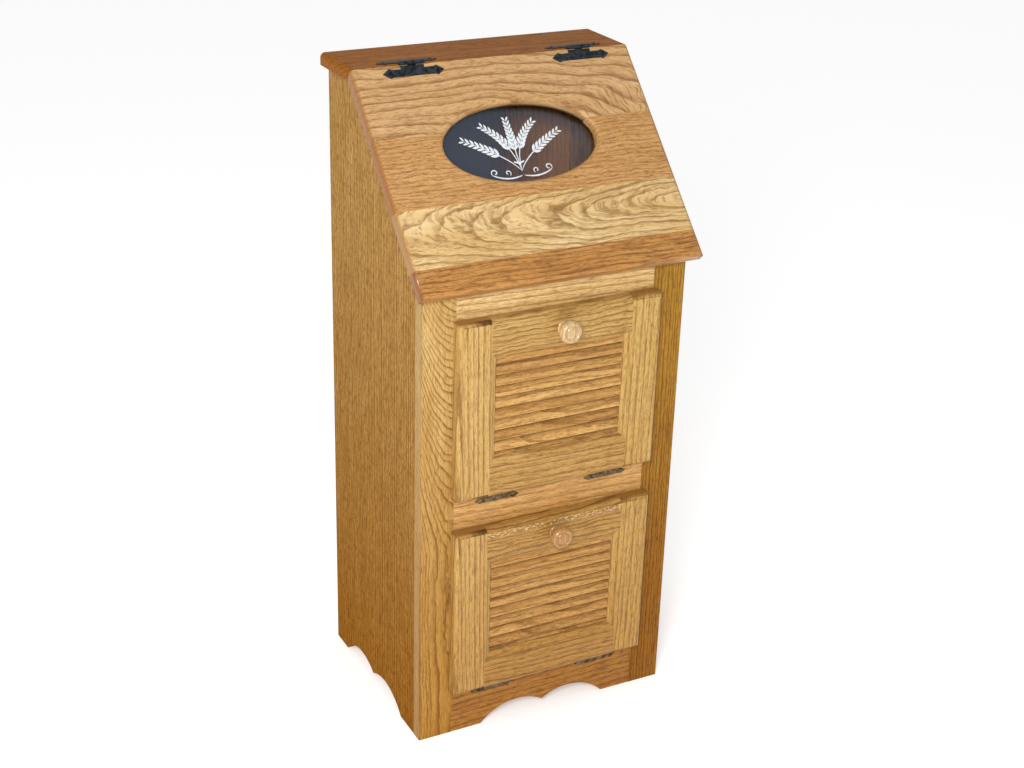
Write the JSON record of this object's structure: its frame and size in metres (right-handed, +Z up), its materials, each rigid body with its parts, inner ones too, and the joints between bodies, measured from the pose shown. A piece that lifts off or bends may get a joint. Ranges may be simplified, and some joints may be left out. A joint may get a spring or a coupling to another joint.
{
  "type": "tilt-out vegetable bin cabinet",
  "caption": "Narrow oak cabinet with a slanted, windowed bread-box lid above louvred doors that tilt out with the bins behind them, on scalloped feet.",
  "frame": {"origin": "middle of the base of the whole cabinet, knobs included", "axes": "+X to the cabinet's right as seen from the front, +Y to its back, +Z up"},
  "size_m": [0.436, 0.363, 0.9657],
  "materials": {
    "oak": "satin varnish",
    "dark_oak": "satin varnish",
    "plain_wood": "bare, lightly sealed",
    "window_glass": "polished",
    "black_steel": "satin",
    "bronze": "antiqued",
    "bright_steel": "zinc plated",
    "bumper_rubber": "matt"
  },
  "bodies": {
    "cabinet": {"back_nails": "bright_steel", "back_panel": "plain_wood", "bottom_shelf": "plain_wood", "bread_floor": "plain_wood", "cleat_screws": "bright_steel", "door_hinge_frame_leaves": "bronze", "door_hinge_frame_screws": "bronze", "door_hinge_pins": "bronze", "face_bottom_rail": "oak", "face_left_stile": "oak", "face_middle_rail": "oak", "face_right_stile": "oak", "face_top_rail": "oak", "left_side": "dark_oak", "lid_hinge_pins": "black_steel", "lid_hinge_top_leaves": "black_steel", "lid_hinge_top_screws": "black_steel", "middle_shelf": "plain_wood", "right_side": "dark_oak", "shelf_cleats": "plain_wood", "top_board": "dark_oak"},
    "lid": {"lid_front_strip": "dark_oak", "lid_hinge_lid_leaves": "black_steel", "lid_hinge_lid_screws": "black_steel", "lid_lower_board": "oak", "lid_middle_board": "dark_oak", "lid_upper_board": "oak", "lid_window": "window_glass", "window_clip_screws": "bright_steel", "window_clips": "bright_steel"},
    "upper_bin": {"upper_bin_back": "plain_wood", "upper_bin_floor": "plain_wood", "upper_bin_left_side": "plain_wood", "upper_bin_right_side": "plain_wood", "upper_door_bottom_rail": "oak", "upper_door_bumpers": "bumper_rubber", "upper_door_left_stile": "oak", "upper_door_right_stile": "oak", "upper_door_top_rail": "oak", "upper_hinge_door_leaves": "bronze", "upper_hinge_door_screws": "bronze", "upper_knob": "oak", "upper_knob_screw": "bright_steel", "upper_louvers": "oak"},
    "lower_bin": {"lower_bin_back": "plain_wood", "lower_bin_floor": "plain_wood", "lower_bin_left_side": "plain_wood", "lower_bin_right_side": "plain_wood", "lower_door_bottom_rail": "oak", "lower_door_bumpers": "bumper_rubber", "lower_door_left_stile": "oak", "lower_door_right_stile": "oak", "lower_door_top_rail": "oak", "lower_hinge_door_leaves": "bronze", "lower_hinge_door_screws": "bronze", "lower_knob": "oak", "lower_knob_screw": "bright_steel", "lower_louvers": "oak"}
  },
  "joints": [
    {"name": "lid_hinge", "type": "hinge", "parent": "cabinet", "child": "lid", "pos_m": [0, 0.07323, 0.963], "axis": [-1, 0, 0], "range_deg": [0, 150]},
    {"name": "upper_bin_tilt", "type": "hinge", "parent": "cabinet", "child": "upper_bin", "pos_m": [0, -0.1385, 0.3925], "axis": [1, 0, 0], "range_deg": [0, 41.8]},
    {"name": "lower_bin_tilt", "type": "hinge", "parent": "cabinet", "child": "lower_bin", "pos_m": [0, -0.1385, 0.0725], "axis": [1, 0, 0], "range_deg": [0, 41.8]}
  ]
}
